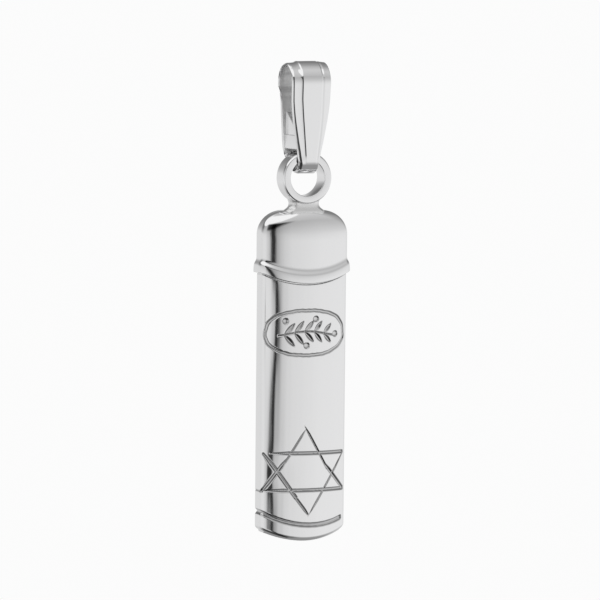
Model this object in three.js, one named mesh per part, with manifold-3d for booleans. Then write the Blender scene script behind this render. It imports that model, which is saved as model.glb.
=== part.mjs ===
// Mezuzah case worn as a pendant: a strap bail, a ring that hangs in it, a domed cap,
// and a half-round case that pulls off the cap to give access to the rolled parchment.
// Millimetres, +Z up, -Y is the front. The origin is the centre of the bail's chain eye.
import * as THREE from 'three';
import { mergeVertices } from 'three/addons/utils/BufferGeometryUtils.js';
import Module from 'manifold-3d';

const wasm = await Module();
wasm.setup();

// ---- Case: a flat back, two short side walls and a shallow front arc ----
const halfWidth = 3.05;          // of the case, across X
const backY = 0.65;              // the flat back
const frontY = -1.08;            // the crown of the front arc
const arcRise = 0.77;            // of the front arc, side walls to crown
const wall = 0.26;               // of the front shells
const plateThickness = 0.2;      // of the back plates
const frontRadius = (halfWidth ** 2 + arcRise ** 2) / (2 * arcRise);
const arcCentreY = frontY + frontRadius;
const seam = 0.02;               // soldered pieces stand this far apart

// ---- Heights, each at the middle of the front ----
const ringZ = -6.35;             // the centre of the hanging ring
const capTopZ = -8.53;           // the flat top of the cap
const partingZ = -13.4;          // where the case leaves the cap
const partingGap = 0.05;
const bottomZ = -30.68;          // the lower rim
const bottomPlateTall = 0.35;
const curveDrop = 0.7;           // the parting line and rim are this much higher at the sides
const curveRadius = (halfWidth ** 2 + curveDrop ** 2) / (2 * curveDrop);

// ---- Cap ----
const capProud = 0.05;           // the cap stands this far outside the case
const shoulderWide = 1.8;
const shoulderTall = 1.6;
const crownDeep = 0.75;          // how far the top of the cap rolls back from the front
const crownTall = 2.0;           // height over which it does so
const ceilingBelowTop = 1.3;     // solid metal under the ring
const beadLayers = [             // how far each stands out, and its height span above the parting
  { proud: 0.05, foot: 0, top: 1.0 },
  { proud: 0.12, foot: 0, top: 0.7 },
  { proud: 0.19, foot: 0.05, top: 0.45 },
];

// ---- Inner sleeve that the cap pushes over ----
const sleeveWall = 0.12;
const sleeveFit = 0.03;          // clearance inside the cap
const sleeveTopZ = -10.2;
const sleeveFootZ = -16.4;

// ---- Bail: a strap folded over at the top and under at the foot ----
const eyeRadius = 1.44;          // outer, of the loop that the chain goes through
const footRadius = 1.05;         // outer, of the fold that goes through the ring
const footZ = -5.03;             // the centre of that fold
const strapThickness = 0.27;
const footThickness = 0.2;
const eyeHalfWidth = 1.39;
const footHalfWidth = 0.68;
const frontSwell = [1.2, -3.3];  // half width and height that steer the front leaf's taper
const backSwell = [1.26, -4.6];  // the back leaf stays wide for longer
const taperStartZ = -1.2;
const eyeTaper = 0.03;           // each edge draws in this much down to there
const foldStraight = 0.3;        // the fold stays parallel this far below its centre
const pinchAngle = 0.15;         // radians below the eye's level where the pinch starts
const pinchZ = -1.35;            // below this the back leaf hangs straight down
const bridgeFootZ = -4.42;
const bridgeTopZ = -3.48;        // at the front leaf
const bridgeHeelZ = -1.95;       // at the back leaf, where the bridge slopes up
const bridgeFrontHalf = 0.82;    // the bridge is narrower at the front leaf
const bridgeBackHalf = 1.14;

// ---- Ring and its neck ----
const ringOuter = 1.75;
const ringInner = 1.21;
const ringHalfDepth = 0.695;
const neckHalfWidth = 1.02;
const neckFootHalfWidth = 1.35;
const neckWaistZ = -8.2;
const neckTopZ = -7.48;          // inside the ring's metal
const neckFootTall = 0.1;
const neckFrontY = -0.45;        // the neck stands back from the ring's front face
const neckSink = 0.6;            // before its foot is fitted to the cap

// ---- Engraving on the front ----
const cutDepth = 0.1;
const lineWidth = 0.17;
const rimLineZ = 1.14;           // the line above the lower rim
const rimLineHalf = 2.72;        // where that line ends, left and right of the middle
const ovalX = -0.08;             // the engraving sits a little left of the middle
const ovalZ = -16.67;
const ovalHalfWide = 2.8;
const ovalHalfTall = 1.5;
const stemHalf = 1.95;           // half the length of the sprig's stem
const stemWide = 0.06;
const leafRoots = [-1.55, -0.85, -0.15, 0.55, 1.25];
const leafLong = 0.42;           // half a leaf's length
const leafWide = 0.11;           // half a leaf's width
const leafTilt = 0.85;           // radians between a leaf and the stem
const starX = -0.08;
const starZ = -26.03;
const starPoint = 2.9;           // middle to the upper and lower points
const starBar = 1.2;             // middle to each level bar
const starTip = 2.85;            // middle to the four side points
const cutNearY = frontY - 1;     // cutting bodies run from here
const cutFarY = backY - 2 * plateThickness;

// ---- Parchment ----
const scrollRadius = 0.38;
const scrollY = -0.17;
const scrollTopZ = -12.1;
const scrollFootZ = -29.55;
const SCROLL_STEPS = 24;

const ARC_STEPS = 28;
const REACH = 6;                 // cutting bodies run this far past the part

function toManifold(geometry) {
  const bare = geometry.clone();
  bare.deleteAttribute('normal');
  bare.deleteAttribute('uv');
  const merged = mergeVertices(bare, 1e-5);
  const vertProperties = new Float32Array(merged.attributes.position.array);
  const triVerts = new Uint32Array(merged.index.array);
  return new wasm.Manifold(new wasm.Mesh({ numProp: 3, vertProperties, triVerts }));
}

function toGeometry(solid) {
  const mesh = solid.getMesh();
  const geometry = new THREE.BufferGeometry();
  geometry.setAttribute('position', new THREE.BufferAttribute(mesh.vertProperties, 3));
  geometry.setIndex(new THREE.BufferAttribute(mesh.triVerts, 1));
  return geometry;
}

function extrude(shape, depth, steps = ARC_STEPS) {
  return new THREE.ExtrudeGeometry(shape, { depth, bevelEnabled: false, curveSegments: steps });
}

// A plan shape (x, y) carried up from lowZ to highZ.
function alongZ(shape, lowZ, highZ) {
  return toManifold(extrude(shape, highZ - lowZ).translate(0, 0, lowZ));
}

// A front-view shape (x, z) carried from the near y to the far y.
function alongY(shape, nearY, farY) {
  return toManifold(extrude(shape, farY - nearY).rotateX(Math.PI / 2).translate(0, farY, 0));
}

// A side-view shape (y, z) carried halfWide each way along X.
function alongX(shape, halfWide) {
  const turn = new THREE.Matrix4().makeBasis(
    new THREE.Vector3(0, 1, 0),
    new THREE.Vector3(0, 0, 1),
    new THREE.Vector3(1, 0, 0),
  );
  return toManifold(extrude(shape, 2 * halfWide).applyMatrix4(turn).translate(-halfWide, 0, 0));
}

// The plan of the case, drawn in by inset all round, with its flat back at farY.
function halfRound(inset, farY = backY - inset) {
  const radius = frontRadius - inset;
  const side = halfWidth - inset;
  const angle = Math.asin(side / radius);
  const shape = new THREE.Shape();
  shape.moveTo(side, farY);
  shape.lineTo(-side, farY);
  shape.absarc(0, arcCentreY, radius, -Math.PI / 2 - angle, -Math.PI / 2 + angle, false);
  shape.closePath();
  return shape;
}

// A front-view band between two lines that both sag towards the middle.
function saggingBand(lowZ, highZ, half) {
  const angle = Math.asin(half / curveRadius);
  const shape = new THREE.Shape();
  const from = -Math.PI / 2 - angle;
  const to = -Math.PI / 2 + angle;
  shape.absarc(0, lowZ + curveRadius, curveRadius, from, to, false);
  shape.absarc(0, highZ + curveRadius, curveRadius, to, from, true);
  shape.closePath();
  return shape;
}

function bandBody(lowZ, highZ, half = halfWidth + 1) {
  return alongY(saggingBand(lowZ, highZ, half), -REACH, REACH);
}

// The cap from the front: a sagging lower edge, straight sides and round shoulders.
function capOutline(inset) {
  const side = halfWidth + capProud - inset;
  const topZ = capTopZ - inset;
  const angle = Math.asin(side / curveRadius);
  const shape = new THREE.Shape();
  const arcZ = partingZ + curveRadius;
  shape.absarc(0, arcZ, curveRadius, -Math.PI / 2 - angle, -Math.PI / 2 + angle, false);
  shape.absellipse(side - shoulderWide, topZ - shoulderTall, shoulderWide, shoulderTall,
    0, Math.PI / 2, false);
  shape.absellipse(-side + shoulderWide, topZ - shoulderTall, shoulderWide, shoulderTall,
    Math.PI / 2, Math.PI, false);
  shape.closePath();
  return shape;
}

// The cap from the side: its top rolls back from the front face.
function capProfile(inset) {
  const crownY = frontY - capProud + inset;
  const topZ = capTopZ - inset;
  const shape = new THREE.Shape();
  shape.moveTo(crownY, partingZ - 1);
  shape.lineTo(REACH, partingZ - 1);
  shape.lineTo(REACH, topZ);
  shape.absellipse(crownY + crownDeep, topZ - crownTall, crownDeep, crownTall,
    Math.PI / 2, Math.PI, false);
  shape.closePath();
  return shape;
}

function capSolid(inset, farY) {
  const plan = alongZ(halfRound(inset - capProud, farY), partingZ - 1, capTopZ + 1);
  const front = alongY(capOutline(inset), -REACH, REACH);
  return plan.intersect(front).intersect(alongX(capProfile(inset), REACH));
}

function capShell() {
  const hollow = alongZ(halfRound(wall, REACH), partingZ - 1, capTopZ - ceilingBelowTop);
  return capSolid(0, backY).subtract(hollow);
}

function capBackPlate() {
  const side = halfWidth - wall - seam;
  const slab = new THREE.Shape();
  slab.moveTo(-side, backY - plateThickness);
  slab.lineTo(side, backY - plateThickness);
  slab.lineTo(side, backY);
  slab.lineTo(-side, backY);
  slab.closePath();
  const topZ = capTopZ - ceilingBelowTop - seam;
  return alongZ(slab, partingZ - 1, topZ).intersect(bandBody(partingZ, capTopZ + 2));
}

// A bead round the front and sides of the cap's lower edge, fullest near its foot.
function collarBead() {
  const inside = alongZ(halfRound(-capProud - seam, REACH), partingZ - 1, capTopZ);
  let bead = null;
  for (const { proud, foot, top } of beadLayers) {
    const outer = alongZ(halfRound(-capProud - seam - proud, backY), partingZ - 1, capTopZ);
    const layer = outer.subtract(inside)
      .intersect(bandBody(partingZ + foot, partingZ + top));
    bead = bead ? bead.add(layer) : layer;
  }
  return bead;
}

// The ring stands on a short neck whose foot is fitted to the top of the cap.
function ringWithNeck() {
  const band = new THREE.Shape();
  band.absarc(0, ringZ, ringOuter, 0, Math.PI * 2, false);
  const neck = new THREE.Shape();
  const footZLow = capTopZ - neckSink;
  const footTop = capTopZ + neckFootTall;
  neck.moveTo(-neckFootHalfWidth, footZLow);
  neck.lineTo(neckFootHalfWidth, footZLow);
  neck.lineTo(neckFootHalfWidth, footTop);
  neck.quadraticCurveTo(neckHalfWidth, footTop, neckHalfWidth, neckWaistZ);
  neck.lineTo(neckHalfWidth, neckTopZ);
  neck.lineTo(-neckHalfWidth, neckTopZ);
  neck.lineTo(-neckHalfWidth, neckWaistZ);
  neck.quadraticCurveTo(-neckHalfWidth, footTop, -neckFootHalfWidth, footTop);
  neck.closePath();
  const hole = new THREE.Shape();
  hole.absarc(0, ringZ, ringInner, 0, Math.PI * 2, false);
  return alongY(band, -ringHalfDepth, ringHalfDepth)
    .add(alongY(neck, neckFrontY, backY))
    .subtract(alongY(hole, -REACH, REACH))
    .subtract(capSolid(-seam, REACH));
}

// The strap's path from the side: an eye at the top, a front leaf that leans in, a fold at
// the foot, and a back leaf that is pinched in below the eye and then hangs straight.
function strapLoop(topInset, footInset) {
  const top = eyeRadius - topInset;
  const foot = footRadius - footInset;
  const lean = Math.asin((top - foot) / -footZ);
  const endY = top * Math.cos(pinchAngle);
  const endZ = -top * Math.sin(pinchAngle);
  const shape = new THREE.Shape();
  shape.absarc(0, 0, top, -pinchAngle, Math.PI + lean, false);
  shape.absarc(0, footZ, foot, Math.PI + lean, Math.PI * 2, false);
  shape.lineTo(foot, pinchZ);
  shape.bezierCurveTo(foot, pinchZ / 2, endY, endZ * 3, endY, endZ);
  shape.closePath();
  return shape;
}

// A leaf of the strap from the front: parallel at the eye, narrowing to the foot.
function leafOutline([swellHalf, swellZ]) {
  const topZ = eyeRadius + 1;
  const lowZ = footZ - footRadius - 1;
  const bendZ = footZ - foldStraight;
  const half = eyeHalfWidth;
  const shape = new THREE.Shape();
  shape.moveTo(-footHalfWidth, lowZ);
  shape.lineTo(footHalfWidth, lowZ);
  shape.lineTo(footHalfWidth, bendZ);
  shape.quadraticCurveTo(swellHalf, swellZ, half - eyeTaper, taperStartZ);
  shape.lineTo(half, 0);
  shape.lineTo(half, topZ);
  shape.lineTo(-half, topZ);
  shape.lineTo(-half, 0);
  shape.lineTo(-half + eyeTaper, taperStartZ);
  shape.quadraticCurveTo(-swellHalf, swellZ, -footHalfWidth, bendZ);
  shape.closePath();
  return shape;
}

function bailStrap() {
  const overlap = 0.3;
  const leaves = alongY(leafOutline(frontSwell), -REACH, overlap)
    .add(alongY(leafOutline(backSwell), -overlap, REACH));
  return alongX(strapLoop(0, 0), REACH)
    .subtract(alongX(strapLoop(strapThickness, footThickness), REACH + 1))
    .intersect(leaves);
}

// A block brazed between the leaves, which parts the chain eye from the ring's eye.
// From the side it slopes up from the front leaf to a heel on the back leaf.
function bailBridge() {
  const side = new THREE.Shape();
  side.moveTo(-eyeRadius, bridgeFootZ);
  side.lineTo(eyeRadius, bridgeFootZ);
  side.lineTo(eyeRadius, bridgeHeelZ);
  side.lineTo(footRadius - footThickness, bridgeHeelZ);
  side.lineTo(-footRadius, bridgeTopZ);
  side.lineTo(-eyeRadius, bridgeTopZ);
  side.closePath();
  const plan = new THREE.Shape();
  plan.moveTo(-bridgeFrontHalf, -footRadius);
  plan.lineTo(bridgeFrontHalf, -footRadius);
  plan.lineTo(bridgeBackHalf, footRadius);
  plan.lineTo(-bridgeBackHalf, footRadius);
  plan.closePath();
  const inside = strapLoop(strapThickness + seam, footThickness + seam);
  return alongX(side, REACH)
    .intersect(alongZ(plan, bridgeFootZ - 1, bridgeHeelZ + 1))
    .intersect(alongX(inside, REACH));
}

// One engraved line from a to b in the front view.
function stroke(a, b) {
  const run = new THREE.Vector2().subVectors(b, a).normalize();
  const along = run.clone().multiplyScalar(lineWidth / 2);
  const across = new THREE.Vector2(-along.y, along.x);
  const shape = new THREE.Shape([
    a.clone().sub(along).sub(across),
    b.clone().add(along).sub(across),
    b.clone().add(along).add(across),
    a.clone().sub(along).add(across),
  ]);
  return alongY(shape, cutNearY, cutFarY);
}

function starLines() {
  const lines = [];
  for (const up of [1, -1]) {
    const point = new THREE.Vector2(starX, starZ + up * starPoint);
    const left = new THREE.Vector2(starX - starTip, starZ - up * starBar);
    const right = new THREE.Vector2(starX + starTip, starZ - up * starBar);
    lines.push(stroke(point, left), stroke(left, right), stroke(right, point));
  }
  return wasm.Manifold.union(lines);
}

function ovalPanel() {
  const outer = new THREE.Shape();
  outer.absellipse(ovalX, ovalZ, ovalHalfWide, ovalHalfTall, 0, Math.PI * 2, false);
  const inner = new THREE.Path();
  inner.absellipse(ovalX, ovalZ, ovalHalfWide - lineWidth, ovalHalfTall - lineWidth,
    0, Math.PI * 2, true);
  outer.holes.push(inner);
  return alongY(outer, cutNearY, cutFarY).add(sprig());
}

// An olive sprig cut into the oval: a stem with pairs of leaves.
function sprig() {
  const stem = new THREE.Shape();
  stem.absellipse(ovalX, ovalZ, stemHalf, stemWide, 0, Math.PI * 2, false);
  const pieces = [alongY(stem, cutNearY, cutFarY)];
  for (const along of leafRoots) {
    for (const side of [1, -1]) {
      const leaf = new THREE.Shape();
      const tilt = side * leafTilt;
      const x = ovalX + along + leafLong * Math.cos(tilt);
      const z = ovalZ + leafLong * Math.sin(tilt);
      leaf.absellipse(x, z, leafLong, leafWide, 0, Math.PI * 2, false, tilt);
      pieces.push(alongY(leaf, cutNearY, cutFarY));
    }
  }
  return wasm.Manifold.union(pieces);
}

// Everything outside a plan drawn in by the depth of the cut, so cuts follow the front arc.
function engraving() {
  const rimLine = bandBody(bottomZ + rimLineZ - lineWidth / 2, bottomZ + rimLineZ + lineWidth / 2,
    rimLineHalf);
  const core = alongZ(halfRound(cutDepth, REACH), bottomZ - 2, capTopZ);
  return wasm.Manifold.union([starLines(), ovalPanel(), rimLine]).subtract(core);
}

function caseBand() {
  return bandBody(bottomZ, partingZ - partingGap);
}

function frontShell() {
  const plan = alongZ(halfRound(0), bottomZ - 1, capTopZ);
  const hollow = alongZ(halfRound(wall, REACH), bottomZ - 2, capTopZ + 1);
  return plan.subtract(hollow).intersect(caseBand()).subtract(engraving());
}

function backPlate() {
  const side = halfWidth - wall - seam;
  const slab = new THREE.Shape();
  slab.moveTo(-side, backY - plateThickness);
  slab.lineTo(side, backY - plateThickness);
  slab.lineTo(side, backY);
  slab.lineTo(-side, backY);
  slab.closePath();
  return alongZ(slab, bottomZ - 1, capTopZ).intersect(caseBand());
}

function bottomPlate() {
  const inside = halfRound(wall + seam, backY - plateThickness - seam);
  return alongZ(inside, bottomZ - 1, bottomZ + 3).intersect(bandBody(bottomZ, bottomZ + bottomPlateTall));
}

function innerSleeve() {
  const inset = wall + sleeveFit;
  const farY = backY - plateThickness - sleeveFit;
  const outer = alongZ(halfRound(inset, farY), sleeveFootZ, sleeveTopZ);
  const inner = halfRound(inset + sleeveWall, farY - sleeveWall);
  return outer.subtract(alongZ(inner, sleeveFootZ - 1, sleeveTopZ + 1));
}

function parchmentScroll() {
  const tall = scrollTopZ - scrollFootZ;
  return new THREE.CylinderGeometry(scrollRadius, scrollRadius, tall, SCROLL_STEPS)
    .rotateX(Math.PI / 2)
    .translate(0, scrollY, (scrollTopZ + scrollFootZ) / 2);
}

function silver(roughness) {
  return new THREE.MeshStandardMaterial({ color: 0xd8d9dc, roughness, metalness: 1 });
}

const polished = silver(0.1);
const satin = silver(0.3);
const parchment = new THREE.MeshStandardMaterial({ color: 0xd9c8a2, roughness: 0.85, metalness: 0 });

function piece(name, shape, material) {
  const geometry = shape.isBufferGeometry ? shape : toGeometry(shape);
  const mesh = new THREE.Mesh(geometry, material);
  mesh.name = name;
  return mesh;
}

const bail = new THREE.Group();
bail.add(piece('bail_strap', bailStrap(), polished));
bail.add(piece('bail_bridge', bailBridge(), polished));

const cap = new THREE.Group();
cap.add(piece('hanging_ring', ringWithNeck(), polished));
cap.add(piece('cap_shell', capShell(), polished));
cap.add(piece('cap_back_plate', capBackPlate(), polished));
cap.add(piece('collar_bead', collarBead(), polished));

const scrollCase = new THREE.Group();
scrollCase.add(piece('front_shell', frontShell(), polished));
scrollCase.add(piece('back_plate', backPlate(), polished));
scrollCase.add(piece('bottom_plate', bottomPlate(), polished));
scrollCase.add(piece('inner_sleeve', innerSleeve(), satin));
scrollCase.add(piece('parchment_scroll', parchmentScroll(), parchment));

const mezuzah = new THREE.Group();
mezuzah.add(bail, cap, scrollCase);
export default mezuzah;
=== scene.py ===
"""Looks for a polished silver mezuzah case worn as a pendant: bail, ring, cap, engraved case."""
import math

import bmesh
import bpy
import numpy as np
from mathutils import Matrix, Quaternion, Vector


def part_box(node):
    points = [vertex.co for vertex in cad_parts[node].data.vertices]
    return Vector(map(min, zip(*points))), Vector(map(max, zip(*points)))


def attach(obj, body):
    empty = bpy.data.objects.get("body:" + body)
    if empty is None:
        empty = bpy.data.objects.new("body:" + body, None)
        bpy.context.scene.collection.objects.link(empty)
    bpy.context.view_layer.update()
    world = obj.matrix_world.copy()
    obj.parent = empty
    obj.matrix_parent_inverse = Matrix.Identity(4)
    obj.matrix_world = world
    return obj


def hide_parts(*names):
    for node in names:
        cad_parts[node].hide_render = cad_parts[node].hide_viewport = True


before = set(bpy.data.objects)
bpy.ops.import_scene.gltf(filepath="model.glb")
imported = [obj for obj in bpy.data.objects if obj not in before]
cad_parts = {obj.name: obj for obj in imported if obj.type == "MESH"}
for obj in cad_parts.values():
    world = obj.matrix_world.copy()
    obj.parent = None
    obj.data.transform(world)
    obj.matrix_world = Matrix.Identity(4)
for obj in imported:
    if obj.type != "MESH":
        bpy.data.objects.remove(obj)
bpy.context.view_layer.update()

MM = 0.001                      # the script works in millimetres; meshes are stored in metres


def mm_box(node):
    """A CAD node's lowest and highest corners, in millimetres."""
    low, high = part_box(node)
    return np.array(low) / MM, np.array(high) / MM


# ---- Places and sizes read from the frame ----
shell_low, shell_high = mm_box("front_shell")
HALF = shell_high[0]                        # half the case's width
BACK = shell_high[1]                        # the flat back
FRONT = shell_low[1]                        # the crown of the front arc
RIM_Z = shell_low[2]                        # the lower rim, at the middle
CURVE_DROP = 0.7                            # rim and parting line are this much higher at the sides
CASE_TOP_Z = shell_high[2] - CURVE_DROP     # the case's upper edge, at the middle
cap_low, cap_high = mm_box("cap_shell")
CAP_HALF = cap_high[0]
CAP_TOP_Z = cap_high[2]
PARTING_Z = cap_low[2]
bead_high = mm_box("collar_bead")[1]
ring_low, ring_high = mm_box("hanging_ring")
strap_low, strap_high = mm_box("bail_strap")
bridge_low, bridge_high = mm_box("bail_bridge")
plate_low, plate_high = mm_box("back_plate")
cap_plate_low, cap_plate_high = mm_box("cap_back_plate")
bottom_high = mm_box("bottom_plate")[1]
sleeve_low, sleeve_high = mm_box("inner_sleeve")
scroll_low, scroll_high = mm_box("parchment_scroll")

# ---- Proportions of the case ----
ARC_RISE = 0.77                 # of the front arc, side walls to crown
ARC_R = (HALF ** 2 + ARC_RISE ** 2) / (2 * ARC_RISE)
ARC_Y = FRONT + ARC_R
CURVE_R = (HALF ** 2 + CURVE_DROP ** 2) / (2 * CURVE_DROP)
WALL = HALF - plate_high[0]     # of the front shells, with the solder seam
CORNER = 0.38                   # radius where the side walls turn into the front


def sag(x):
    """How much higher the sagging lines are at x than at the middle."""
    return CURVE_R - np.sqrt(CURVE_R ** 2 - x ** 2)


# ---------------------------------------------------------------- mesh helpers

def new_object(name, vertices, faces, material, body, smooth=True):
    """A mesh object from millimetre vertices, riding on a CAD body."""
    mesh = bpy.data.meshes.new(name)
    mesh.from_pydata((np.asarray(vertices) * MM).tolist(), [], faces)
    mesh.update()
    if smooth:
        mesh.shade_smooth()
    mesh.materials.append(material)
    piece = bpy.data.objects.new(name, mesh)
    bpy.context.scene.collection.objects.link(piece)
    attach(piece, body)
    return piece


def sharpen(piece, degrees):
    """Marks edges that turn by more than an angle as sharp, and faces outwards."""
    edit = bmesh.new()
    edit.from_mesh(piece.data)
    bmesh.ops.recalc_face_normals(edit, faces=edit.faces)
    limit = math.radians(degrees)
    for edge in edit.edges:
        edge.smooth = len(edge.link_faces) == 2 and edge.calc_face_angle() < limit
    edit.to_mesh(piece.data)
    edit.free()
    return piece


def grid_faces(rows, columns, start=0, wrap_rows=False, wrap_columns=False):
    """Quads of a grid whose vertices run along each row in turn."""
    faces = []
    for row in range(rows if wrap_rows else rows - 1):
        below = start + row * columns
        above = start + ((row + 1) % rows) * columns
        for column in range(columns if wrap_columns else columns - 1):
            beside = (column + 1) % columns
            faces.append((below + column, below + beside, above + beside, above + column))
    return faces


def loft(name, rings, material, body, close=False, angle=50):
    """A tube through closed rings of points; close joins the last ring to the first."""
    rings = np.asarray(rings)
    rows, columns = rings.shape[:2]
    faces = grid_faces(rows, columns, wrap_rows=close, wrap_columns=True)
    if not close:
        last = (rows - 1) * columns
        faces.append(tuple(range(columns - 1, -1, -1)))
        faces.append(tuple(range(last, last + columns)))
    piece = new_object(name, rings.reshape(-1, 3), faces, material, body)
    return sharpen(piece, angle)


def steps(start, end, spacing):
    """Evenly spaced values from start to end, without the end."""
    count = max(1, int(math.ceil(abs(end - start) / spacing)))
    return np.linspace(start, end, count, endpoint=False)


def plan_path(inset, corner=CORNER, spacing=0.04, side=HALF, radius=ARC_R, back=BACK):
    """The plan from the left back edge round the front to the right one, drawn in by inset.

    Returns the points and their outward normals."""
    half = side - inset
    arc = radius - inset
    round_off = max(corner - inset, 0.12)
    turn = math.asin((half - round_off) / (arc - round_off))
    corner_y = ARC_Y - (arc - round_off) * math.cos(turn)
    right_angle = math.pi / 2
    points = []
    normals = []
    for y in steps(back, corner_y, max(spacing * 2.5, 0.1)):
        points.append((-half, y))
        normals.append((-1.0, 0.0))
    for angle in steps(right_angle, turn, min(spacing, 0.04) / round_off):
        normal = np.array((-math.sin(angle), -math.cos(angle)))
        points.append(np.array((-(half - round_off), corner_y)) + round_off * normal)
        normals.append(normal)
    for angle in steps(turn, 0, spacing / arc):
        normal = np.array((-math.sin(angle), -math.cos(angle)))
        points.append(np.array((0, ARC_Y)) + arc * normal)
        normals.append(normal)
    points = np.array([tuple(p) for p in points])
    normals = np.array([tuple(n) for n in normals])
    crown = np.array([[0.0, ARC_Y - arc]])
    mirror = np.array((-1.0, 1.0))
    points = np.vstack([points, crown, points[::-1] * mirror])
    normals = np.vstack([normals, [[0.0, -1.0]], normals[::-1] * mirror])
    return points, normals


# ---------------------------------------------------------------- materials

def node_material(name):
    material = bpy.data.materials.new(name)
    material.use_nodes = True
    nodes = material.node_tree.nodes
    return material, nodes, material.node_tree.links, nodes["Principled BSDF"]


def polished_silver(name, tint, roughness, scratch_strength=0.04):
    """Polished silver: faint buffing lines, a soft haze, and painted shade that darkens the engraved
    cuts.
    """
    material, nodes, links, surface = node_material(name)
    # Painted shade in the engraved cuts: the cut attribute pulls the base colour from the tint towards
    # dark grey.
    groove_shade_attribute = nodes.new("ShaderNodeAttribute")
    groove_shade_attribute.attribute_name = "cut"
    painted_groove_shade = nodes.new("ShaderNodeValToRGB")
    painted_groove_shade.color_ramp.elements[0].color = (*tint, 1)
    painted_groove_shade.color_ramp.elements[1].color = (0.25, 0.25, 0.25, 1)
    links.new(groove_shade_attribute.outputs["Fac"], painted_groove_shade.inputs["Fac"])
    links.new(painted_groove_shade.outputs["Color"], surface.inputs["Base Color"])
    surface.inputs["Metallic"].default_value = 1.0
    place = nodes.new("ShaderNodeTexCoord")
    haze = nodes.new("ShaderNodeTexNoise")
    haze.inputs["Scale"].default_value = 900.0
    haze.inputs["Detail"].default_value = 4.0
    links.new(place.outputs["Object"], haze.inputs["Vector"])
    dullness = nodes.new("ShaderNodeMapRange")
    dullness.inputs["From Min"].default_value = 0.35
    dullness.inputs["From Max"].default_value = 0.75
    dullness.inputs["To Min"].default_value = roughness
    dullness.inputs["To Max"].default_value = roughness + 0.05
    links.new(haze.outputs["Fac"], dullness.inputs["Value"])
    links.new(dullness.outputs["Result"], surface.inputs["Roughness"])
    stretch = nodes.new("ShaderNodeMapping")
    stretch.inputs["Scale"].default_value = (1.0, 1.0, 0.06)
    stretch.inputs["Rotation"].default_value = (0.0, 0.35, 0.0)
    links.new(place.outputs["Object"], stretch.inputs["Vector"])
    lines = nodes.new("ShaderNodeTexNoise")
    lines.inputs["Scale"].default_value = 24000.0
    lines.inputs["Detail"].default_value = 2.0
    links.new(stretch.outputs["Vector"], lines.inputs["Vector"])
    bump = nodes.new("ShaderNodeBump")
    bump.inputs["Strength"].default_value = scratch_strength
    bump.inputs["Distance"].default_value = 0.00001
    links.new(lines.outputs["Fac"], bump.inputs["Height"])
    links.new(bump.outputs["Normal"], surface.inputs["Normal"])
    return material


def parchment_skin():
    """Scraped parchment: warm cream, mottled, with fine fibres."""
    material, nodes, links, surface = node_material("parchment")
    surface.inputs["Roughness"].default_value = 0.82
    place = nodes.new("ShaderNodeTexCoord")
    mottle = nodes.new("ShaderNodeTexNoise")
    mottle.inputs["Scale"].default_value = 1500.0
    mottle.inputs["Detail"].default_value = 6.0
    links.new(place.outputs["Object"], mottle.inputs["Vector"])
    colours = nodes.new("ShaderNodeValToRGB")
    colours.color_ramp.elements[0].position = 0.3
    colours.color_ramp.elements[0].color = (0.52, 0.40, 0.24, 1)
    colours.color_ramp.elements[1].position = 0.7
    colours.color_ramp.elements[1].color = (0.80, 0.71, 0.53, 1)
    links.new(mottle.outputs["Fac"], colours.inputs["Fac"])
    links.new(colours.outputs["Color"], surface.inputs["Base Color"])
    stretch = nodes.new("ShaderNodeMapping")
    stretch.inputs["Scale"].default_value = (1.0, 1.0, 0.15)
    links.new(place.outputs["Object"], stretch.inputs["Vector"])
    fibres = nodes.new("ShaderNodeTexNoise")
    fibres.inputs["Scale"].default_value = 18000.0
    fibres.inputs["Detail"].default_value = 3.0
    links.new(stretch.outputs["Vector"], fibres.inputs["Vector"])
    bump = nodes.new("ShaderNodeBump")
    bump.inputs["Strength"].default_value = 0.35
    bump.inputs["Distance"].default_value = 0.00002
    links.new(fibres.outputs["Fac"], bump.inputs["Height"])
    links.new(bump.outputs["Normal"], surface.inputs["Normal"])
    return material


SILVER = polished_silver("polished_silver", (0.93, 0.93, 0.935), 0.035)
SATIN = polished_silver("drawn_silver", (0.86, 0.86, 0.86), 0.2, 0.2)
SOFT = polished_silver("pressed_silver", (0.9, 0.9, 0.9), 0.32, 0.01)
PARCHMENT = parchment_skin()


# ---------------------------------------------------------------- engraving

STAR_X, STAR_Z = -0.09, -26.02  # the middle of the star
OVAL_X, OVAL_Z = -0.08, -16.67
OVAL_WIDE = 2.78                # half the oval's width
OVAL_TALL = 1.5


def stroke(x, z, start, end, width, depth, start_taper=1.0, end_taper=1.0):
    """Depth of one V-shaped graver cut. A taper of 0 thins that end to nothing."""
    start = np.array(start)
    run = np.array(end) - start
    length = math.hypot(*run)
    run = run / length
    along = (x - start[0]) * run[0] + (z - start[1]) * run[1]
    along = np.clip(along, 0, length)
    away = np.hypot(x - start[0] - along * run[0], z - start[1] - along * run[1])
    share = along / length
    ease = 0.22
    thin = np.minimum(
        start_taper + (1 - start_taper) * np.clip(share / ease, 0, 1),
        end_taper + (1 - end_taper) * np.clip((1 - share) / ease, 0, 1),
    )
    half = np.maximum(width / 2 * thin, 1e-4)
    return depth * thin * np.clip(1.15 * (1 - away / half), 0, 1)


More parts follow.
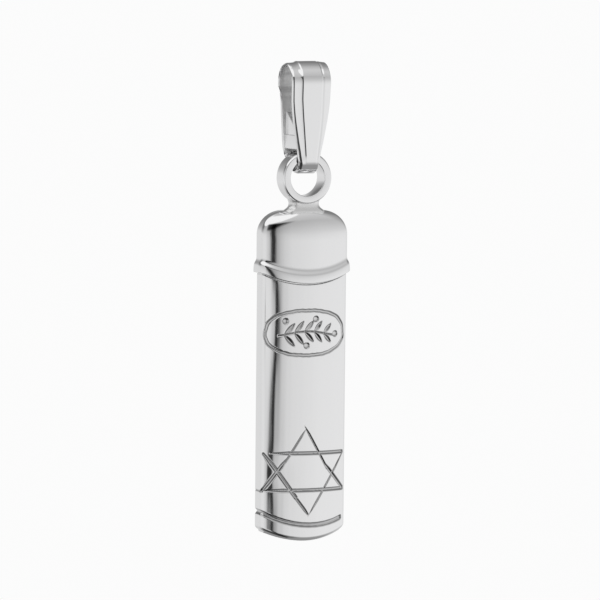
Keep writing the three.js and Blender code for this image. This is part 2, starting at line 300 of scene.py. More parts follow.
def star_cuts(x, z):
    """Six hand-cut lines of a six-pointed star, each a little different."""
    up, down = 3.05, -2.86
    bar_high, bar_low = 1.22, -1.18
    cuts = [
        ((-0.16, up + 0.12), (1.58, 0.2), 0.17, 0.1, 0.2, 1.0),
        ((1.42, 0.48), (2.88, bar_low - 0.02), 0.26, 0.13, 0.6, 0.9),
        ((-0.04, up - 0.16), (-1.45, 0.66), 0.16, 0.09, 0.3, 0.8),
        ((-1.3, 0.95), (-2.9, bar_low - 0.1), 0.27, 0.13, 0.3, 0.7),
        ((-2.9, bar_low - 0.05), (2.86, bar_low - 0.07), 0.27, 0.13, 0.4, 1.0),
        ((-2.4, bar_high + 0.06), (2.82, bar_high + 0.01), 0.27, 0.13, 0.3, 1.0),
        ((-2.8, bar_high + 0.02), (-0.7, -1.72), 0.3, 0.15, 0.6, 0.9),
        ((-0.85, -1.55), (0.16, down), 0.21, 0.11, 0.8, 0.6),
        ((2.88, bar_high - 0.04), (0.14, down - 0.16), 0.17, 0.09, 0.5, 0.2),
    ]
    depth = np.zeros_like(x)
    for start, end, width, deep, start_taper, end_taper in cuts:
        line = stroke(x - STAR_X, z - STAR_Z, start, end, width, deep, start_taper, end_taper)
        depth = np.maximum(depth, line)
    return depth


def oval_border(x, z):
    """A flat-bottomed channel round the oval, so that its two edges read as a double line."""
    power = 2.35
    u = np.abs(x - OVAL_X) / OVAL_WIDE
    v = np.abs(z - OVAL_Z) / OVAL_TALL
    level = np.maximum((u ** power + v ** power) ** (1 / power), 1e-6)
    slope_x = (u / level) ** (power - 1) / OVAL_WIDE
    slope_z = (v / level) ** (power - 1) / OVAL_TALL
    around = np.arctan2(z - OVAL_Z, x - OVAL_X)
    unsteady = 0.006 * np.sin(9 * around) + 0.005 * np.sin(23 * around + 1)
    away = np.abs(level - 1 + unsteady) / np.maximum(np.hypot(slope_x, slope_z), 1e-6)
    return 0.09 * np.clip((0.12 - away) / 0.06, 0, 1) * np.clip((HALF - 0.04 - np.abs(x)) / 0.08, 0, 1)


def leaf_cut(x, z, base, angle, long, wide, depth):
    """An almond-shaped cut that starts at base and points along angle."""
    dx = x - base[0]
    dz = z - base[1]
    along = (dx * math.cos(angle) + dz * math.sin(angle)) / long
    away = np.abs(-dx * math.sin(angle) + dz * math.cos(angle))
    half = np.maximum(wide / 2 * np.sin(np.pi * np.clip(along, 0, 1)) ** 0.8, 1e-5)
    return depth * np.clip(1 - away / half, 0, 1)


def berry_cut(x, z, centre, radius, depth):
    """A round punch mark."""
    away = np.hypot(x - centre[0], z - centre[1]) / radius
    return depth * np.sqrt(np.clip(1 - away ** 2, 0, 1)) ** 0.6


def sprig_cuts(x, z):
    """An olive sprig across the oval: a curved stem, paired leaves and punched olives."""
    x, z = x - OVAL_X, z - OVAL_Z

    def stem_height(along):
        return 0.16 * np.cos(along * 1.25) - 0.06

    away = np.abs(z - stem_height(x))
    depth = 0.08 * np.clip(1 - away / 0.075, 0, 1) * (np.abs(x) < 2.0)
    for index, base in enumerate((-1.6, -0.9, -0.2, 0.5, 1.2)):
        for side in (1, -1):
            angle = side * (0.82 + 0.06 * (index % 2))
            long = 1.08 - 0.05 * index
            leaf = leaf_cut(x, z, (base, stem_height(base)), angle, long, 0.34, 0.12)
            depth = np.maximum(depth, leaf)
    for centre in ((-1.5, 0.8), (-0.05, -0.85), (0.62, 0.92), (2.12, -0.12)):
        depth = np.maximum(depth, berry_cut(x, z, centre, 0.21, 0.1))
    return depth


def rim_groove(x, z):
    """A groove that follows the lower rim, from the left side wall to a round end at right."""
    middle = RIM_Z + 1.08 + sag(x) - 0.06 * x
    slope = x / np.sqrt(CURVE_R ** 2 - x ** 2)
    away = np.abs(z - middle) / np.sqrt(1 + slope ** 2)
    past = np.clip(x - 2.62, 0, None)
    away = np.hypot(away, past * 1.2)
    return 0.14 * np.clip(1.2 * (1 - away / 0.18), 0, 1)


def dents(x, z):
    """Shallow hollows that hand finishing left round the engraving."""
    star = 0.045 * np.exp(-((x + 1.5) / 0.85) ** 2 - ((z - STAR_Z) / 1.3) ** 2)
    left = np.clip((-x - 1.4) / 1.5, 0, None)
    return star + 0.085 * left ** 2 * np.exp(-((z - OVAL_Z - 1.0) / 4.2) ** 2)


def waviness(x, z):
    """The slight unevenness of a surface polished by hand along its length."""
    return 0.0007 * np.sin(9.0 * x + 0.25 * z) + 0.0005 * np.sin(17.0 * x - 0.2 * z + 1.0)


def engraved_depth(x, z):
    return np.maximum.reduce([
        star_cuts(x, z), oval_border(x, z), sprig_cuts(x, z), rim_groove(x, z),
    ])


# ---------------------------------------------------------------- the case

def case_levels():
    """Heights above the middle of the rim, close together where there is engraving."""
    fine = 0.034
    star_top = STAR_Z + 3.2 - RIM_Z
    oval_low = OVAL_Z - OVAL_TALL - CURVE_DROP - 0.2 - RIM_Z
    oval_top = OVAL_Z + OVAL_TALL + 0.2 - RIM_Z
    top = CASE_TOP_Z - RIM_Z
    return np.concatenate([
        steps(0, 0.4, 0.025),
        steps(0.4, star_top, fine),
        steps(star_top, oval_low, 0.22),
        steps(oval_low, oval_top, fine),
        steps(oval_top, top - 0.06, 0.22),
        np.linspace(top - 0.06, top, 4),
    ])


def front_shell():
    points, normals = plan_path(0, spacing=0.034)
    inner_points = plan_path(WALL)[0]
    inner_points = resample(inner_points, len(points))
    levels = case_levels()
    top = levels[-1]
    rim_round, lip_round = 0.34, 0.05
    facing = np.clip(-normals[:, 1], 0, 1) ** 2
    rows = []
    cuts = []
    for level in levels:
        x = points[:, 0]
        z = RIM_Z + level + sag(x)
        depth = engraved_depth(x, z)
        # Painted shade for the engraved cuts, darkest on the groove walls; the material reads it from
        # the cut attribute.
        cuts.append(np.clip(1 - np.abs(depth / 0.05 - 1), 0, 1) + np.clip(depth / 0.3 - 0.1, 0, 0.35))
        inset = depth + waviness(x, z) + facing * dents(x, z)
        inset = inset + round_over(level, rim_round) + round_over(top - level, lip_round)
        inset = np.minimum(inset, WALL - 0.04)
        inset[normals[:, 1] > -0.01] *= 0.999
        plan = points - normals * inset[:, None]
        rows.append(np.column_stack([plan, z]))
    columns = len(points)
    outer_rows = len(rows)
    inner_levels = np.linspace(0, top, 8)
    for level in inner_levels:
        x = inner_points[:, 0]
        rows.append(np.column_stack([inner_points, RIM_Z + level + sag(x)]))
    vertices = np.vstack(rows)
    inner_start = outer_rows * columns
    faces = grid_faces(outer_rows, columns)
    faces += grid_faces(len(inner_levels), columns, inner_start)
    outer_last = (outer_rows - 1) * columns
    inner_last = inner_start + (len(inner_levels) - 1) * columns
    for column in range(columns - 1):
        faces.append((column, column + 1, inner_start + column + 1, inner_start + column))
        faces.append((outer_last + column, outer_last + column + 1,
                      inner_last + column + 1, inner_last + column))
    for column in (0, columns - 1):
        outer_edge = [row * columns + column for row in range(outer_rows)]
        inner_edge = [inner_start + row * columns + column for row in range(len(inner_levels))]
        faces.append(tuple(outer_edge + inner_edge[::-1]))
    piece = new_object("case_front", vertices, faces, SILVER, "case")
    # The painted groove shade is stored on the points as the cut attribute.
    painted_groove_shade = piece.data.attributes.new("cut", "FLOAT", "POINT")
    groove_shade_values = np.zeros(len(vertices))
    groove_shade_values[:inner_start] = np.concatenate(cuts)
    painted_groove_shade.data.foreach_set("value", groove_shade_values)
    sharpen(piece, 55)
    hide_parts("front_shell")
    return piece


def resample(points, count):
    """The same path with count points, evenly spaced."""
    lengths = np.r_[0, np.cumsum(np.hypot(*np.diff(points, axis=0).T))]
    wanted = np.linspace(0, lengths[-1], count)
    return np.column_stack([np.interp(wanted, lengths, points[:, k]) for k in (0, 1)])


def round_over(distance, radius):
    """How far a surface steps in at a distance from an edge rounded to radius."""
    inside = np.clip(radius - distance, 0, radius)
    return radius - np.sqrt(radius ** 2 - inside ** 2)


def slab(name, half, y_low, y_high, z_low, z_high, low_sags, high_sags, body):
    """A flat plate with sagging or straight lower and upper edges and slightly eased edges."""
    x = np.linspace(-half, half, 41)
    low = z_low + (sag(x) if low_sags else 0 * x)
    high = z_high + (sag(x) if high_sags else 0 * x)
    outline = np.vstack([np.column_stack([x, low]), np.column_stack([x, high])[::-1]])
    ease = 0.03
    middle = outline.mean(axis=0)
    rings = []
    for y, inset in ((y_low, ease), (y_low + ease, 0), (y_high - ease, 0), (y_high, ease)):
        pulled = outline + np.sign(middle - outline) * inset
        rings.append(np.column_stack([pulled[:, 0], np.full(len(pulled), y), pulled[:, 1]]))
    return loft(name, rings, SILVER, body, angle=30)


def back_plates():
    plate = slab("case_back", plate_high[0], plate_low[1], plate_high[1], RIM_Z, CASE_TOP_Z,
                 True, True, "case")
    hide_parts("back_plate")
    cap_plate = slab("cap_back", cap_plate_high[0], cap_plate_low[1], cap_plate_high[1],
                     PARTING_Z, cap_plate_high[2], True, False, "cap")
    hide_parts("cap_back_plate")


def bottom_plate():
    """The plate soldered into the lower end, following the sagging rim."""
    path = plan_path(WALL, spacing=0.12)[0]
    path = np.vstack([[(path[0, 0], bottom_high[1])], path[path[:, 1] < bottom_high[1]],
                      [(path[-1, 0], bottom_high[1])]])
    rings = []
    for rise in (0.03, 0.05, 0.33):
        rings.append(np.column_stack([path, RIM_Z + rise + sag(path[:, 0])]))
    piece = loft("case_bottom", rings, SILVER, "case", angle=30)
    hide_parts("bottom_plate")


def inner_sleeve():
    """The thin drawn sleeve that the cap pushes over."""
    inset = HALF - sleeve_high[0]
    thickness = 0.12
    back = sleeve_high[1]

    def closed_plan(extra):
        path = plan_path(inset + extra, corner=CORNER + 0.1, spacing=0.08)[0]
        path = path[path[:, 1] < back - extra - 0.02]
        path = np.vstack([[(path[0, 0], back - extra)], path, [(path[-1, 0], back - extra)]])
        return resample(np.vstack([path, path[:1]]), 161)[:-1]

    outer, inner = closed_plan(0), closed_plan(thickness)
    profile = [(outer, sleeve_low[2]), (outer, sleeve_high[2] - 0.05)]
    mouth = closed_plan(0.04)
    profile += [(mouth, sleeve_high[2]), (inner, sleeve_high[2]), (inner, sleeve_low[2])]
    rings = [np.column_stack([plan, np.full(len(plan), z)]) for plan, z in profile]
    piece = loft("sleeve", rings, SATIN, "case", close=True, angle=30)
    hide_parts("inner_sleeve")


def parchment_roll():
    """A strip of parchment rolled up tightly; its edge shows as a spiral at both ends."""
    centre = (scroll_low + scroll_high) / 2
    radius = (scroll_high[0] - scroll_low[0]) / 2
    turns, sheet, samples = 3.2, 0.055, 150
    angles = np.linspace(0.0, turns * 2 * math.pi, samples)
    outer_r = radius - (turns * 2 * math.pi - angles) / (2 * math.pi) * (sheet + 0.022)
    inner_r = outer_r - sheet
    wobble = 1 + 0.01 * np.sin(3 * angles)
    outer = np.column_stack([outer_r * wobble * np.cos(angles), outer_r * wobble * np.sin(angles)])
    inner = np.column_stack([inner_r * wobble * np.cos(angles), inner_r * wobble * np.sin(angles)])
    section = np.vstack([outer, inner[::-1]])
    rings = []
    for share in np.linspace(0, 1, 24):
        z = scroll_low[2] + share * (scroll_high[2] - scroll_low[2])
        loose = 1 - 0.012 * (1 + math.sin(share * 19.0)) / 2
        plan = section * loose + centre[:2]
        rings.append(np.column_stack([plan, np.full(len(plan), z)]))
    piece = loft("parchment_roll", rings, PARCHMENT, "case", angle=40)
    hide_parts("parchment_scroll")


# ---------------------------------------------------------------- the cap

SHOULDER_WIDE, SHOULDER_TALL = 1.8, 1.6
CROWN_DEEP, CROWN_TALL = 0.75, 2.0


def quarter_drop(share):
    """How far a quarter ellipse of unit size has turned in at a share of its height."""
    return 1 - np.sqrt(np.clip(1 - share ** 2, 0, 1))


def cap_sections(inset):
    """Closed plans from the parting line up over the dome, drawn in by inset."""
    proud = CAP_HALF - HALF
    path = plan_path(inset - proud, spacing=0.06)[0]
    path = np.vstack([path, np.column_stack([np.linspace(path[-1, 0], path[0, 0], 42)[1:-1],
                                             np.full(40, BACK)])])
    path[:, 1] = np.minimum(path[:, 1], BACK)
    side = path[:, 0].max()
    depth = BACK - path[:, 1].min()
    top = CAP_TOP_Z - inset
    start = top - CROWN_TALL
    rings = []
    for share in np.linspace(0, 1, 30):
        low = PARTING_Z + sag(path[:, 0])
        rings.append(np.column_stack([path, low + (start - low) * share]))
    for turn in np.linspace(0, math.pi / 2, 56)[1:]:
        z = start + CROWN_TALL * math.sin(turn)
        crown = CROWN_DEEP * quarter_drop((z - start) / CROWN_TALL)
        shoulder = SHOULDER_WIDE * quarter_drop(max(0.0, z - top + SHOULDER_TALL) / SHOULDER_TALL)
        plan = np.column_stack([path[:, 0] * (1 - shoulder / side),
                                BACK - (BACK - path[:, 1]) * (1 - crown / depth)])
        rings.append(np.column_stack([plan, np.full(len(plan), z)]))
    return rings


def join(piece, other, material):
    """Moves other's closed shell into piece, and gives it a material of its own."""
    piece.data.materials.append(material)
    for face in other.data.polygons:
        face.material_index = 1
    edit = bmesh.new()
    edit.from_mesh(piece.data)
    edit.from_mesh(other.data)
    edit.to_mesh(piece.data)
    edit.free()
    bpy.data.objects.remove(other)


def cut(piece, tool):
    """Cuts tool out of piece and deletes the tool."""
    boolean = piece.modifiers.new("cut", "BOOLEAN")
    boolean.operation = "DIFFERENCE"
    boolean.solver = "EXACT"
    boolean.object = tool
    bpy.context.view_layer.update()
    graph = bpy.context.evaluated_depsgraph_get()
    result = bpy.data.meshes.new_from_object(piece.evaluated_get(graph))
    piece.modifiers.clear()
    piece.data = result
    bpy.data.objects.remove(tool)
    return piece


def cap_shell():
    piece = loft("cap_dome", cap_sections(0), SILVER, "cap")
    hollow_path = plan_path(WALL, spacing=0.08)[0]
    past = BACK + 0.5
    hollow_path = np.vstack([[(hollow_path[0, 0], past)], hollow_path, [(hollow_path[-1, 0], past)]])
    rings = [np.column_stack([hollow_path, np.full(len(hollow_path), z)])
             for z in (PARTING_Z - 1, cap_plate_high[2])]
    hollow = loft("cap_hollow", rings, SILVER, "cap")
    cut(piece, hollow)
    sharpen(piece, 40)
    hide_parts("cap_shell")
    return piece


def collar_bead():
    """The bead round the cap's lower edge: a soft cove above, full below, undercut at its foot."""
    proud = CAP_HALF - HALF
    path, normals = plan_path(-proud, spacing=0.06)
    tall, foot, undercut = 1.06, 0.03, 0.07
    reach = bead_high[0] - CAP_HALF
    down = np.linspace(0, tall - foot - undercut, 34)
    flare = np.interp(down, [0, 0.1, 0.2, 0.33, 0.45, 0.55, 0.65, 0.9], [0, 8, 18, 30, 18, 7, 5, 0])
    out = np.cumsum(np.tan(np.radians(flare)))
    out *= reach / out[-1]
    profile = [(o, tall - d) for o, d in zip(out, down)]
    for turn in np.linspace(0, math.pi / 2, 12)[1:]:
        profile.append((reach * math.cos(turn) ** 0.6, foot + undercut * (1 - math.sin(turn))))
    profile += [(-0.06, foot), (-0.06, tall)]
    rings = []
    for (x, y), (nx, ny) in zip(path, normals):
        base = PARTING_Z + sag(min(abs(x), HALF))
        rings.append([(x + nx * out, min(y + ny * out, BACK), base + up) for out, up in profile])
    piece = loft("collar", rings, SILVER, "cap", angle=50)
    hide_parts("collar_bead")


# ---------------------------------------------------------------- ring and bail

RING_R = (ring_high[0] - ring_low[0]) / 2
RING_Z = ring_high[2] - RING_R
HOLE_R = 1.21
NECK = [                        # rise over the cap, half width, front and back of the neck
    (-0.24, 1.44, -0.62, 0.6), (-0.04, 1.4, -0.61, 0.6), (0.03, 1.34, -0.59, 0.59),
    (0.1, 1.24, -0.565, 0.57), (0.18, 1.15, -0.54, 0.55), (0.27, 1.09, -0.525, 0.54),
    (0.36, 1.055, -0.515, 0.53), (0.46, 1.04, -0.51, 0.53), (0.56, 1.055, -0.515, 0.53),
    (0.66, 1.09, -0.53, 0.54), (0.76, 1.13, -0.55, 0.55), (0.9, 1.15, -0.57, 0.57),
]


def outward(outline):
    """Outward normals of an outline that runs counter-clockwise."""
    along = np.roll(outline, -1, axis=0) - np.roll(outline, 1, axis=0)
    normals = np.column_stack([along[:, 1], -along[:, 0]])
    return normals / np.linalg.norm(normals, axis=1)[:, None]


def neck_body():
    """The neck: level sections with round corners, waisted below the ring and flared at the foot."""
    corner = 0.5
    rings = []
    for rise, half, near, far in NECK:
        plan = []
        for quarter, (x, y) in enumerate([(half, far), (-half, far), (-half, near), (half, near)]):
            centre = np.array((x - math.copysign(corner, x), y - math.copysign(corner, y)))
            for turn in np.linspace(0, math.pi / 2, 13) + quarter * math.pi / 2:
                plan.append(centre + corner * np.array((math.cos(turn), math.sin(turn))))
            across = np.array([(-2 * (half - corner), 0), (0, near - far + 2 * corner),
                               (2 * (half - corner), 0), (0, far - near - 2 * corner)][quarter])
            plan += [plan[-1] + across * share for share in (0.2, 0.4, 0.6, 0.8)]
        rings.append(np.column_stack([np.array(plan), np.full(len(plan), CAP_TOP_Z + rise)]))
    return loft("neck", rings, SILVER, "cap", angle=50)


def hanging_ring():
    """The ring: well rounded outside, crisp round the hole, standing on its neck."""
    front, back = ring_low[1], -ring_low[1]
    profile = []
    for turn in np.linspace(0, math.pi / 2, 12):
        profile.append((front + 0.2 * (1 - math.sin(turn)), RING_R - 0.15 * (1 - math.cos(turn))))
    profile = profile[::-1]
    profile += [(front + (back - front) * share, RING_R) for share in (0.3, 0.5, 0.7)]
    profile += [(front + back - y, r) for y, r in profile[:12][::-1]]
    for turn in np.linspace(0, math.pi / 2, 5):
        profile.append((back - 0.06 * (1 - math.cos(turn)), HOLE_R + 0.06 * (1 - math.sin(turn))))
    for turn in np.linspace(math.pi / 2, 0, 5):
        profile.append((front + 0.06 * (1 - math.cos(turn)), HOLE_R + 0.06 * (1 - math.sin(turn))))
    angles = np.linspace(0, 2 * math.pi, 181)[:-1]
    rings = [np.column_stack([r * np.cos(angles), np.full(len(angles), y),
                              RING_Z + r * np.sin(angles)]) for y, r in profile]
    piece = loft("ring", rings, SILVER, "cap", close=True, angle=50)
    join(piece, neck_body(), SOFT)
    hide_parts("hanging_ring")


EYE_R = strap_high[2]
FOOT_R = 1.05
STRAP_FOOT_Z = strap_low[2] + FOOT_R
STRAP_THICK, FOOT_THICK = 0.27, 0.2
PINCH_Z = -1.35


def strap_path():
    """The strap's outer path from the side: over the eye, down the front, round the foot, up."""
    lean = math.asin((EYE_R - FOOT_R) / -STRAP_FOOT_Z)
    pinch = 0.15
    path = []
    for angle in np.linspace(-pinch, math.pi + lean, 90):
        path.append((EYE_R * math.cos(angle), EYE_R * math.sin(angle)))
    foot_start = (FOOT_R * math.cos(math.pi + lean), STRAP_FOOT_Z + FOOT_R * math.sin(math.pi + lean))
    start = np.array(path[-1])
    for share in np.linspace(0, 1, 60)[1:-1]:
        path.append(tuple(start + (np.array(foot_start) - start) * share))
    for angle in np.linspace(math.pi + lean, 2 * math.pi, 48):
        path.append((FOOT_R * math.cos(angle), STRAP_FOOT_Z + FOOT_R * math.sin(angle)))
    for share in np.linspace(0, 1, 44)[1:-1]:
        path.append((FOOT_R, STRAP_FOOT_Z + (PINCH_Z - STRAP_FOOT_Z) * share))
    end = (EYE_R * math.cos(pinch), -EYE_R * math.sin(pinch))
    control = [(FOOT_R, PINCH_Z), (FOOT_R, PINCH_Z / 2), (end[0], end[1] * 3), end]
    for t in np.linspace(0, 1, 20)[:-1]:
        weights = ((1 - t) ** 3, 3 * t * (1 - t) ** 2, 3 * t ** 2 * (1 - t), t ** 3)
        path.append(tuple(sum(w * c[k] for w, c in zip(weights, control)) for k in (0, 1)))
    return np.array(path)


FRONT_LEAF = [(-5.4, 0.66), (-5.2, 0.70), (-4.55, 0.80), (-3.9, 0.93), (-3.2, 1.05), (-2.54, 1.16),
              (-1.87, 1.25), (-1.2, 1.31), (0.0, 1.34)]
BACK_LEAF = [(-5.7, 0.66), (-5.2, 0.84), (-4.8, 1.02), (-4.4, 1.14), (-3.9, 1.2), (-2.54, 1.27),
             (-1.2, 1.33), (0.0, 1.36)]


def strap_section(half, creases, over, low, thick, facet):
    """Across the strap: (sideways, outwards) points.

    A raised middle, a step down at the left crease, a groove at the right one, flanges that
    fall away, and a bevelled left edge. Over the eye the creases are deeper."""
    edge = 0.06
    bevel = 0.404
    left, right = creases
    # Runs across the strap: where each ends, its number of steps, its slope at start and end.
    runs = [
        (-left - 0.04, 24, 0.05, 0.33), (-left + 0.04, 6, 0.41 + 0.2 * over, 0.41 + 0.2 * over),
        (right - 0.08, 40, 0.01, -0.01), (right, 5, -0.3 - 0.4 * over, -0.3 - 0.4 * over),
        (right + 0.12, 6, 0.2, 0.2), (half - edge, 16, -0.12, -0.12),
    ]
    grid, out = [-half + facet], [0.0]
    for end, count, first, last in runs:
        start = grid[-1]
        for step in range(1, count + 1):
            share = (step - 0.5) / count
            slope = (first + (last - first) * share ** 3) * low
            out.append(out[-1] + slope * (end - start) / count)
            grid.append(start + (end - start) * step / count)
    out = np.array(out) - max(out)
    points = list(zip(grid, out))
    for turn in np.linspace(0, math.pi / 2, 6)[1:]:
        points.append((half - edge + edge * math.sin(turn), out[-1] - edge * (1 - math.cos(turn))))
    points.append((half, -thick + 0.04))
    for share in np.linspace(1, -1, 9):
        points.append((share * (half - 0.03), -thick))
    low_out = out[0] - bevel * facet
    points.append((-half - 0.08, -thick + 0.03))
    points.append((-half - 0.07, -thick + 0.06))
    points.append((-half - 0.03, low_out - 0.03))
    points.append((-half - 0.01, low_out - 0.005))
    for share in (0.08, 0.92):
        points.append((-half + facet * share, low_out + bevel * facet * share))
    return points


def bail_strap():
    path = strap_path()
    normals = outward(path)
    rings = []
    for (y, z), (ny, nz) in zip(path, normals):
        front_share = float(np.clip(0.5 - y / (2 * FOOT_R), 0, 1))
        front_share = front_share * front_share * (3 - 2 * front_share)
        front_half = np.interp(z, *zip(*FRONT_LEAF))
        back_half = np.interp(z, *zip(*BACK_LEAF))
        half = float(back_half + (front_half - back_half) * front_share)
        over = float(np.clip((z - 0.25) / 0.6, 0, 1))
        low = float(np.clip((z - STRAP_FOOT_Z + 0.4) / 0.6, 0, 1))
        down = float(np.clip((-1 - z) / 4, 0, 1))
        thick = STRAP_THICK if z > -4 else STRAP_THICK + (FOOT_THICK - STRAP_THICK) * min(-4 - z, 1)
        creases = (half * (0.51 - 0.14 * down), half * (0.57 + 0.15 * down))
        section = strap_section(half, creases, over, low, thick, 0.085 + 0.08 * down)
        rings.append([(s, y + ny * out, z + nz * out) for s, out in section])
    piece = loft("bail", rings, SILVER, "bail", close=True, angle=40)
    piece.data.materials.append(SOFT)
    inner = [abs(out + thick) < 1e-9 for s, out in section]
    for face in piece.data.polygons:
        column = face.index % len(section)
        if inner[column] and inner[(column + 1) % len(section)]:
            face.material_index = 1
    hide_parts("bail_strap")


def bevel_edges(piece, width, segments=3):
    """Rounds every edge of a small solid."""
    edit = bmesh.new()
    edit.from_mesh(piece.data)
    bmesh.ops.bevel(edit, geom=list(edit.edges), offset=width * MM, segments=segments,
                    profile=0.5, affect="EDGES", clamp_overlap=True)
    edit.to_mesh(piece.data)
    edit.free()
    return sharpen(piece, 50)


def bail_bridge():
    """The brazed block above the ring, with its slope up to the back leaf."""
    front, back = bridge_low[1], bridge_high[1]
    low, heel = bridge_low[2], bridge_high[2]
    back_half = bridge_high[0]
    front_half = back_half - 0.32
    top = -3.48

    def half_at(y, inset):
        return front_half + (back_half - front_half) * (y - front) / (back - front) - inset

    def prism(name, side, inset):
        rings = [[(sign * half_at(y, inset), y, z) for y, z in side] for sign in (-1, 1)]
        return loft(name, rings, SILVER, "bail", angle=30)

    base = prism("bridge_block", [(front + 0.1, low), (back, low), (back, top), (front + 0.02, top)], 0)
    bevel_edges(base, 0.035)
    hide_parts("bail_bridge")
    slope = [(front + 0.04, top - 0.08), (back, top - 0.08), (back, heel), (back - 0.08, heel)]
    wedge = prism("bridge_slope", slope, 0.08)
    bevel_edges(wedge, 0.03)


# ---------------------------------------------------------------- room, light and camera

FLOOR_Z = -41.0
TARGET = (-0.2, 0.0, -14.55)
AZIMUTH, ELEVATION = -22.0, 5.0
DISTANCE = 300.0
FOCAL = 269.0
LEAN = 0.55


def direction(azimuth, elevation):
    a, e = math.radians(azimuth), math.radians(elevation)
    return Vector((math.sin(a) * math.cos(e), -math.cos(a) * math.cos(e), math.sin(e)))


def camera():
    data = bpy.data.cameras.new("camera")
    data.lens = FOCAL
    data.clip_start, data.clip_end = 0.01, 10
    view = bpy.data.objects.new("camera", data)
    bpy.context.scene.collection.objects.link(view)
    back = direction(AZIMUTH, ELEVATION)
    view.location = (Vector(TARGET) + back * DISTANCE) * MM
    turn = (-back).to_track_quat("-Z", "Y")
    view.rotation_mode = "QUATERNION"
    view.rotation_quaternion = turn @ Quaternion((0, 0, 1), math.radians(LEAN))
    bpy.context.scene.camera = view


def panel(name, azimuth, elevation, distance, width, height, power, colour=(1, 1, 1)):
    """A soft rectangular light that faces the object."""
    data = bpy.data.lights.new(name, "AREA")
    data.shape = "RECTANGLE"
    data.size, data.size_y = width * MM, height * MM
    data.energy = power
    data.color = colour
    light = bpy.data.objects.new(name, data)
    bpy.context.scene.collection.objects.link(light)
    back = direction(azimuth, elevation)
    light.location = (Vector(TARGET) + back * distance) * MM
    light.rotation_mode = "QUATERNION"
    light.rotation_quaternion = back.to_track_quat("Z", "Y")
    light.visible_camera = False
    light.visible_glossy = False


SLIT_AZIMUTH = -22.0            # polished metal mirrors the gap beside the lens as a dark line


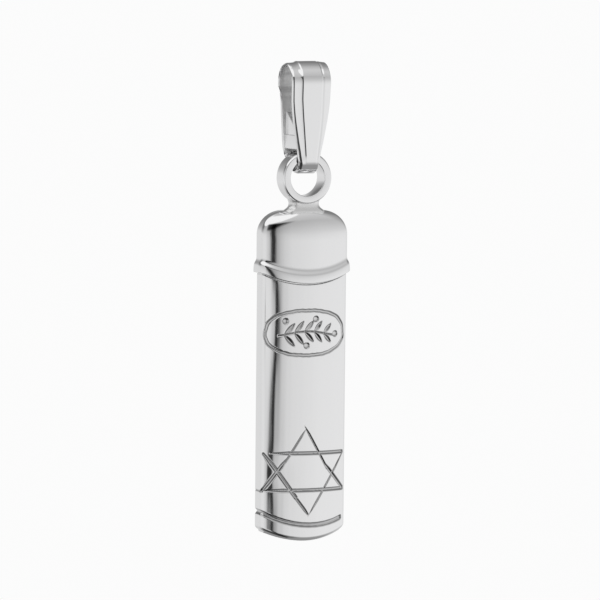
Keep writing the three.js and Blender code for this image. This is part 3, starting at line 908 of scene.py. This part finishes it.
def world_light():
    """A white tent, drawn by direction: a dark gap at the lens, a soft box overhead at left."""
    world = bpy.data.worlds.new("tent")
    world.use_nodes = True
    nodes, links = world.node_tree.nodes, world.node_tree.links
    place = nodes.new("ShaderNodeTexCoord")

    def maths(operation, *inputs):
        node = nodes.new("ShaderNodeMath")
        node.operation = operation
        for socket, value in zip(node.inputs, inputs):
            if isinstance(value, (int, float)):
                socket.default_value = value
            else:
                links.new(value, socket)
        return node.outputs[0]

    def along(vector):
        node = nodes.new("ShaderNodeVectorMath")
        node.operation = "DOT_PRODUCT"
        links.new(place.outputs["Generated"], node.inputs[0])
        node.inputs[1].default_value = vector
        return node.outputs["Value"]

    def ramp(value, stops):
        node = nodes.new("ShaderNodeValToRGB")
        elements = node.color_ramp.elements
        while len(elements) < len(stops):
            elements.new(0.5)
        for element, (position, grey) in zip(elements, stops):
            element.position = position
            element.color = (grey, grey, grey, 1)
        links.new(value, node.inputs["Fac"])
        return node.outputs["Color"]

    def by_height(stops):
        return ramp(height, [((math.sin(math.radians(e)) + 1) / 2, g) for e, g in stops])

    def by_azimuth(stops):
        return ramp(around, [(a / 360 + 0.5, g) for a, g in stops])

    def mix(low, high, share):
        return maths("ADD", maths("MULTIPLY", low, maths("SUBTRACT", 1.0, share)),
                     maths("MULTIPLY", high, share))

    lens = direction(SLIT_AZIMUTH, 0)
    beside = Vector((-lens.y, lens.x, 0))
    height = maths("MULTIPLY_ADD", along((0, 0, 1)), 0.5, 0.5)
    turn = maths("ARCTAN2", along(beside), along(lens))
    around = maths("MULTIPLY_ADD", turn, 1 / (2 * math.pi), 0.5)

    front = by_height([(-90, 0.28), (-48, 0.3), (-36, 0.5), (-25, 0.8), (-12, 0.84), (-3, 0.8),
                       (4, 0.74), (11, 0.65), (22, 0.55), (31, 0.5), (45, 0.56), (60, 0.62),
                       (72, 0.62), (90, 0.53)])
    back = by_height([(-90, 0.28), (-48, 0.3), (-30, 0.6), (-10, 0.78), (4, 0.74), (12, 0.45),
                      (25, 0.17), (45, 0.24), (60, 0.34), (76, 0.46), (90, 0.53)])
    facing = maths("MULTIPLY_ADD", along((0, -1, 0)), 2.0, 0.5)
    tent = mix(back, front, ramp(facing, [(0, 0), (1, 1)]))

    gap = by_azimuth([(-180, 0.95), (-60, 0.94), (-14, 0.93), (-8, 0.86), (-4.4, 0.66), (-3.1, 0.4),
                      (-2.4, 0.05), (2.3, 0.03), (3.0, 0.24), (4, 0.44), (6, 0.54), (9, 0.67),
                      (14, 0.79), (22, 0.88), (40, 0.93), (60, 0.98), (90, 1.0), (180, 0.95)])
    below_box = by_height([(-90, 1), (33, 1), (37, 0), (90, 0)])
    tent = maths("MULTIPLY", tent, mix(1.0, gap, below_box))

    # A dark wedge under the soft box, and a dark patch low down beside the lens.
    wedge_edge = by_azimuth([(-180, 0.6), (-4, 0.6), (10, 0.7), (34, 0.8), (180, 0.8)])
    above = maths("MULTIPLY", maths("SUBTRACT", height, wedge_edge), 16.0)
    wedge = maths("MULTIPLY", ramp(above, [(0, 0), (1, 1)]),
                  maths("MULTIPLY", by_azimuth([(-12, 0), (-6, 1), (30, 1), (38, 0)]),
                        by_height([(-90, 1), (33, 1), (38, 0)])))
    under = maths("MULTIPLY", by_azimuth([(-75, 0), (-45, 1), (2, 1), (40, 0)]),
                  by_height([(-90, 1), (-34, 1), (-18, 0)]))
    shade = maths("MAXIMUM", wedge, maths("MULTIPLY", under, 0.9))
    tent = maths("MULTIPLY", tent, maths("SUBTRACT", 1.0, maths("MULTIPLY", shade, 0.93)))

    # The soft box's lower edge climbs to the right.
    box_edge = by_azimuth([(-180, 0.78), (-12, 0.78), (8, 0.82), (30, 0.9), (54, 0.965), (75, 1)])
    inside = maths("MULTIPLY", maths("SUBTRACT", height, box_edge), 40.0)
    box = maths("MULTIPLY", ramp(inside, [(0, 0), (1, 1)]),
                maths("MULTIPLY", by_azimuth([(-150, 0), (-120, 1), (70, 1), (80, 0)]),
                      by_height([(-90, 1), (74, 1), (84, 0)])))
    tent = mix(tent, 0.95, box)

    background = nodes["Background"]
    links.new(tent, background.inputs["Color"])
    bpy.context.scene.world = world


def room():
    """A pale floor that turns up into a pale wall all round."""
    radius, turn = 900.0, 250.0
    profile = [(60.0, FLOOR_Z), (200.0, FLOOR_Z), (radius - turn, FLOOR_Z)]
    for angle in np.linspace(0, math.pi / 2, 12)[1:]:
        profile.append((radius - turn + turn * math.sin(angle),
                        FLOOR_Z + turn * (1 - math.cos(angle))))
    profile.append((radius, 900.0))
    vertices, around = [], 64
    for r, z in profile:
        for step in range(around):
            a = 2 * math.pi * step / around
            vertices.append((r * math.cos(a) * MM, r * math.sin(a) * MM, z * MM))
    faces = grid_faces(len(profile), around, wrap_columns=True)
    faces.append(tuple(range(around)))
    mesh = bpy.data.meshes.new("room")
    mesh.from_pydata(vertices, [], faces)
    mesh.shade_smooth()
    material, *_, surface = node_material("pale_paper")
    surface.inputs["Base Color"].default_value = (0.0, 0.0, 0.0, 1)
    surface.inputs["Roughness"].default_value = 0.9
    surface.inputs["Specular IOR Level"].default_value = 0.0
    surface.inputs["Emission Color"].default_value = (1, 1, 1, 1)
    surface.inputs["Emission Strength"].default_value = 0.97
    mesh.materials.append(material)
    paper = bpy.data.objects.new("room", mesh)
    bpy.context.scene.collection.objects.link(paper)
    paper.visible_glossy = False
    paper.visible_diffuse = False
    paper.visible_shadow = False


bail_strap()
bail_bridge()
hanging_ring()
cap_shell()
collar_bead()
front_shell()
back_plates()
bottom_plate()
inner_sleeve()
parchment_roll()

camera()
world_light()
room()
panel("key_left", -75, 55, 260, 160, 120, 0.4)
bpy.context.scene.view_settings.view_transform = "Standard"
